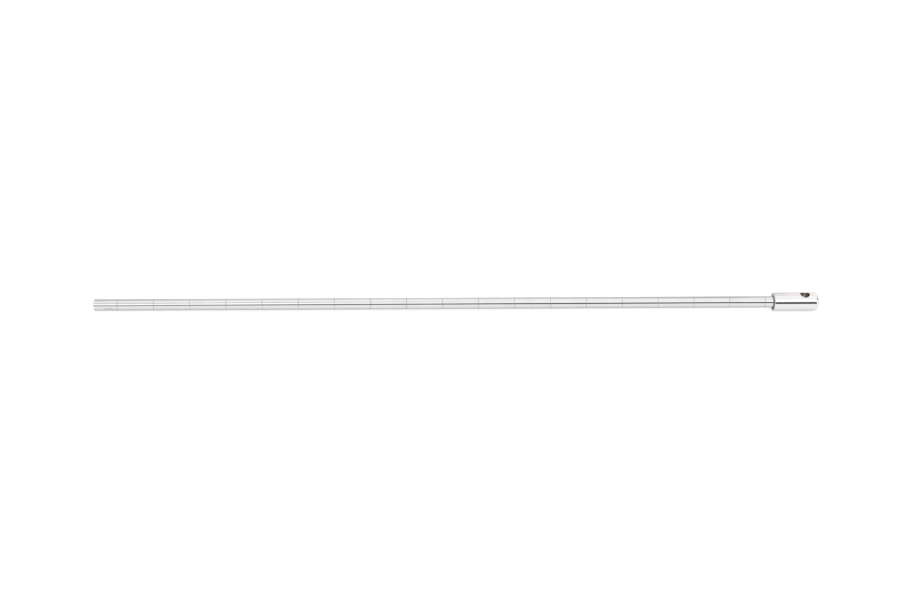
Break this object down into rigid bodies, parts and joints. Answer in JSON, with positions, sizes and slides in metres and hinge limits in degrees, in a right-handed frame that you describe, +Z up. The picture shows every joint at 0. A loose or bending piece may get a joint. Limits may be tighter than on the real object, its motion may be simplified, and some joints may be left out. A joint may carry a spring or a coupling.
{
  "type": "graduated ground dibber",
  "caption": "Long straight polished steel bar with equally spaced turned depth rings, square-cut at the tip, and a larger cylindrical head with a hole drilled across it for a loose turning bar.",
  "frame": {"origin": "middle of the overall length, straight under the bar's axis, at the level of the head's lowest line", "axes": "+X along the bar from the tip towards the head, +Z up along the cross hole, locking screw on the +Y side"},
  "size_m": [1.0066, 0.026, 0.026],
  "materials": {
    "rod_steel": "polished stainless steel with fine turning marks",
    "head_steel": "polished stainless steel",
    "screw_steel": "plain stainless steel, as machined"
  },
  "bodies": {
    "root": {"rod": "rod_steel", "head": "head_steel", "locking_screw": "screw_steel"}
  },
  "joints": []
}
